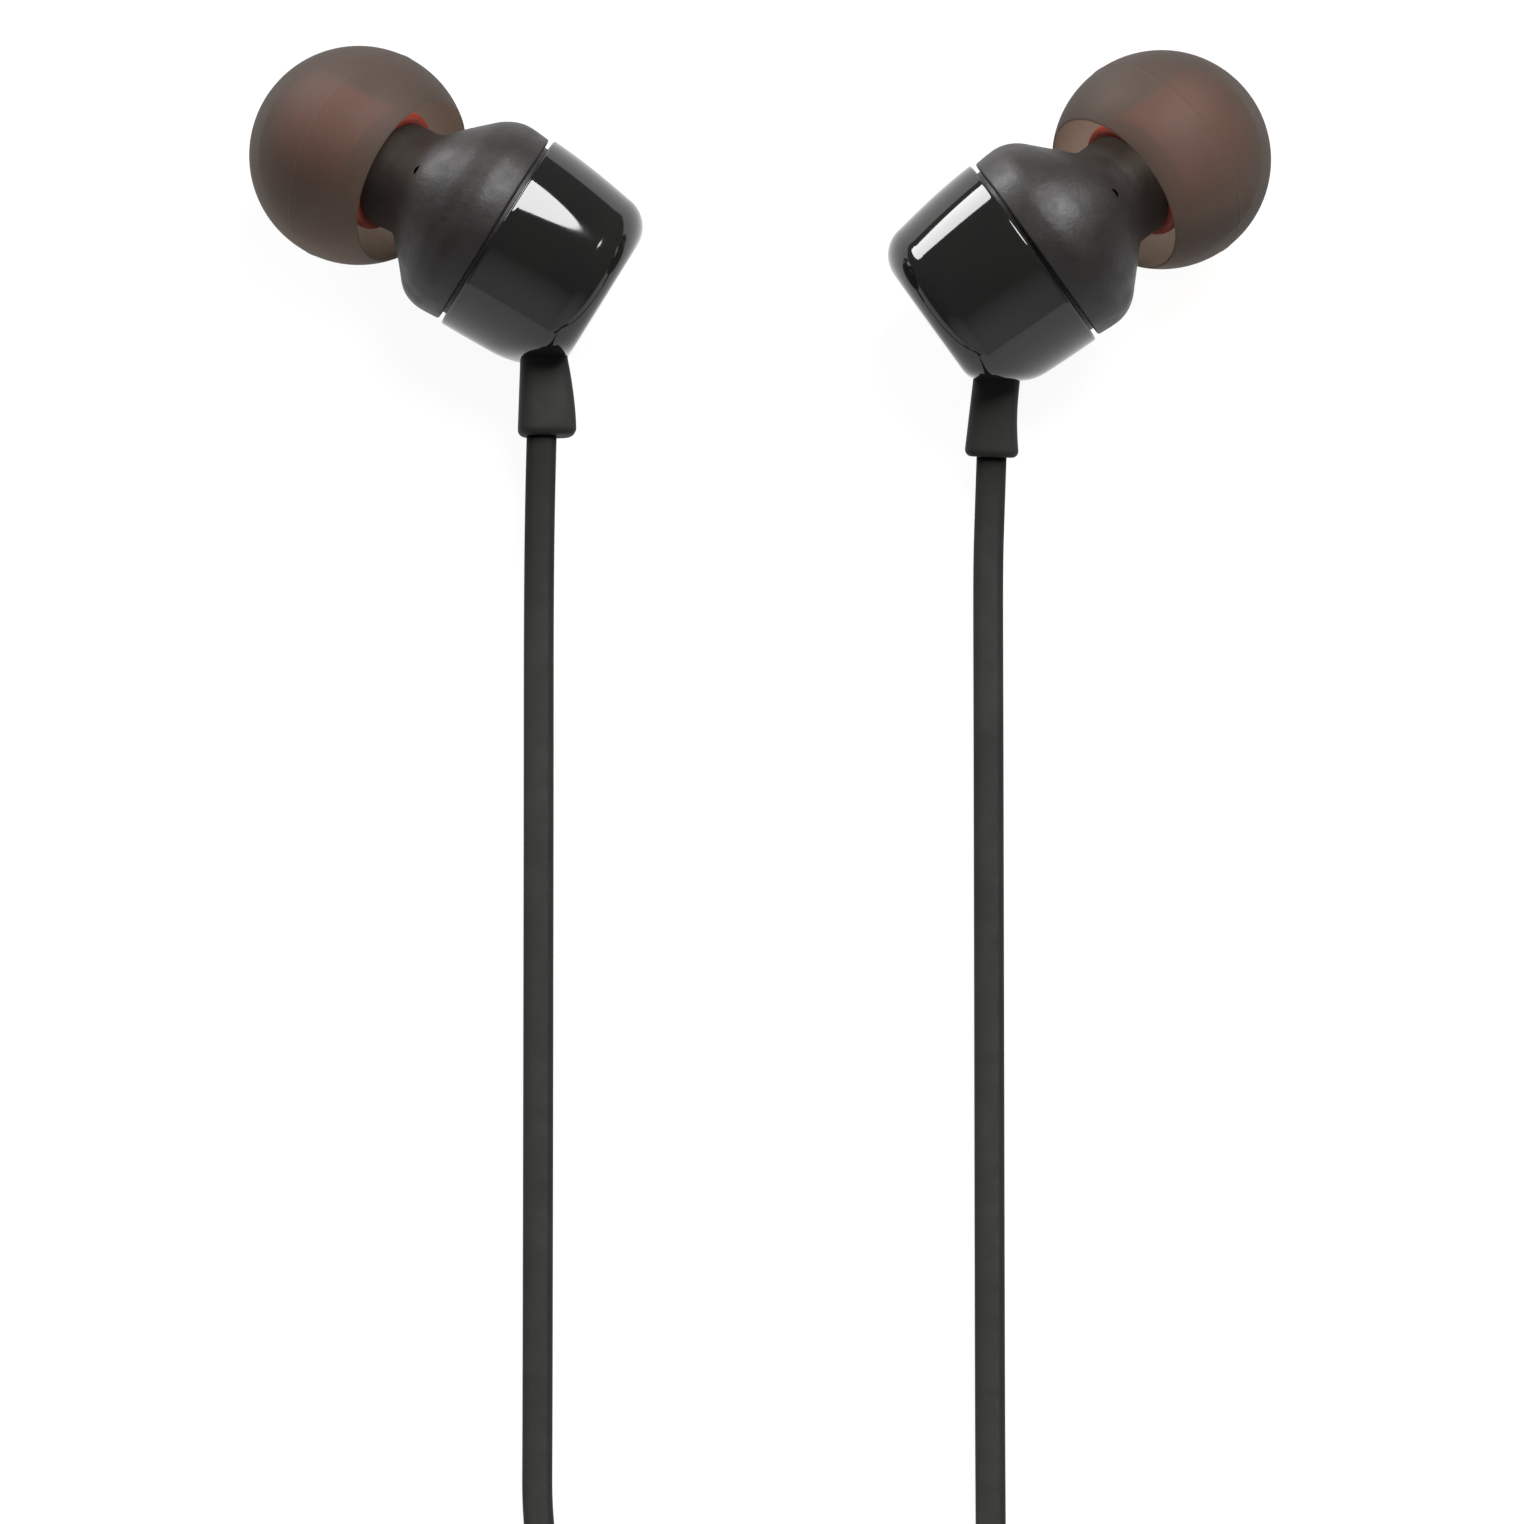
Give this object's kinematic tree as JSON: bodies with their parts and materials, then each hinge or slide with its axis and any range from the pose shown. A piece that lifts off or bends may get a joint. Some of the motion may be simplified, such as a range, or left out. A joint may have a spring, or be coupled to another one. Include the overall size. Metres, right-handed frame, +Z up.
{
  "type": "wired in-ear earphones",
  "caption": "Wired in-ear earphones: two drop-shaped earpieces with soft tips, flat leads, an in-line button remote, a splitter and a four-contact plug.",
  "frame": {"origin": "centre of the two earpieces' footprint, on the surface that they lie on", "axes": "+X from the left earpiece to the right one, +Y away from the cords, +Z up"},
  "size_m": [0.0553, 0.1885, 0.0131],
  "materials": {
    "silicone_dome": "satin translucent silicone",
    "silicone_core": "satin silicone",
    "matte_shell": "fine grained matte",
    "gloss_shell": "high gloss",
    "soft_sleeve": "matte",
    "cord_jacket": "satin",
    "remote_shell": "fine grained matte",
    "button_cap": "satin",
    "steel": "fine brushed",
    "magnet": "nickel plated",
    "copper": "enamelled wire",
    "film": "thin clear film",
    "frame_plastic": "moulded",
    "board": "lacquered circuit board",
    "paper": "acoustic paper",
    "gold_contact": "polished plate",
    "insulation": "moulded",
    "tie_band": "satin"
  },
  "bodies": {
    "set": {"left_cord_knot": "cord_jacket", "left_damping_disc": "paper", "left_diaphragm": "film", "left_driver_board": "board", "left_driver_cover": "steel", "left_driver_frame": "frame_plastic", "left_driver_magnet": "magnet", "left_driver_pole_plate": "steel", "left_driver_yoke": "steel", "left_front_housing": "matte_shell", "left_lead": "cord_jacket", "left_lead_coil": "cord_jacket", "left_lead_coil_tie": "tie_band", "left_lead_tail": "cord_jacket", "left_nozzle_mesh": "steel", "left_rear_housing": "gloss_shell", "left_strain_relief": "soft_sleeve", "left_voice_coil": "copper", "main_coil": "cord_jacket", "main_coil_tie": "tie_band", "main_lead": "cord_jacket", "main_tail": "cord_jacket", "plug_body": "remote_shell", "plug_insulator": "insulation", "plug_ring_1": "gold_contact", "plug_ring_2": "gold_contact", "plug_sleeve_contact": "gold_contact", "plug_strain_relief": "soft_sleeve", "plug_tip": "gold_contact", "remote_board": "board", "remote_bottom_shell": "remote_shell", "remote_microphone": "steel", "remote_switch": "steel", "remote_top_shell": "remote_shell", "right_cord_knot": "cord_jacket", "right_damping_disc": "paper", "right_diaphragm": "film", "right_driver_board": "board", "right_driver_cover": "steel", "right_driver_frame": "frame_plastic", "right_driver_magnet": "magnet", "right_driver_pole_plate": "steel", "right_driver_yoke": "steel", "right_front_housing": "matte_shell", "right_lead_coil": "cord_jacket", "right_lead_coil_tie": "tie_band", "right_lead_lower": "cord_jacket", "right_lead_tail": "cord_jacket", "right_lead_upper": "cord_jacket", "right_nozzle_mesh": "steel", "right_rear_housing": "gloss_shell", "right_strain_relief": "soft_sleeve", "right_voice_coil": "copper", "splitter": "remote_shell"},
    "left_tip": {"left_ear_tip": "silicone_dome", "left_ear_tip_core": "silicone_core"},
    "right_tip": {"right_ear_tip": "silicone_dome", "right_ear_tip_core": "silicone_core"},
    "button": {"remote_button": "button_cap"}
  },
  "joints": [
    {"name": "left_tip_pull", "type": "slide", "parent": "set", "child": "left_tip", "axis": [-0.7788, 0.5692, -0.2634], "range_m": [0, 0.006]},
    {"name": "right_tip_pull", "type": "slide", "parent": "set", "child": "right_tip", "axis": [0.7015, 0.6795, -0.215], "range_m": [0, 0.006]},
    {"name": "remote_button_press", "type": "slide", "parent": "set", "child": "button", "axis": [0, 0, -1], "range_m": [0, 0.0004], "stiffness_N_per_m": 400}
  ]
}
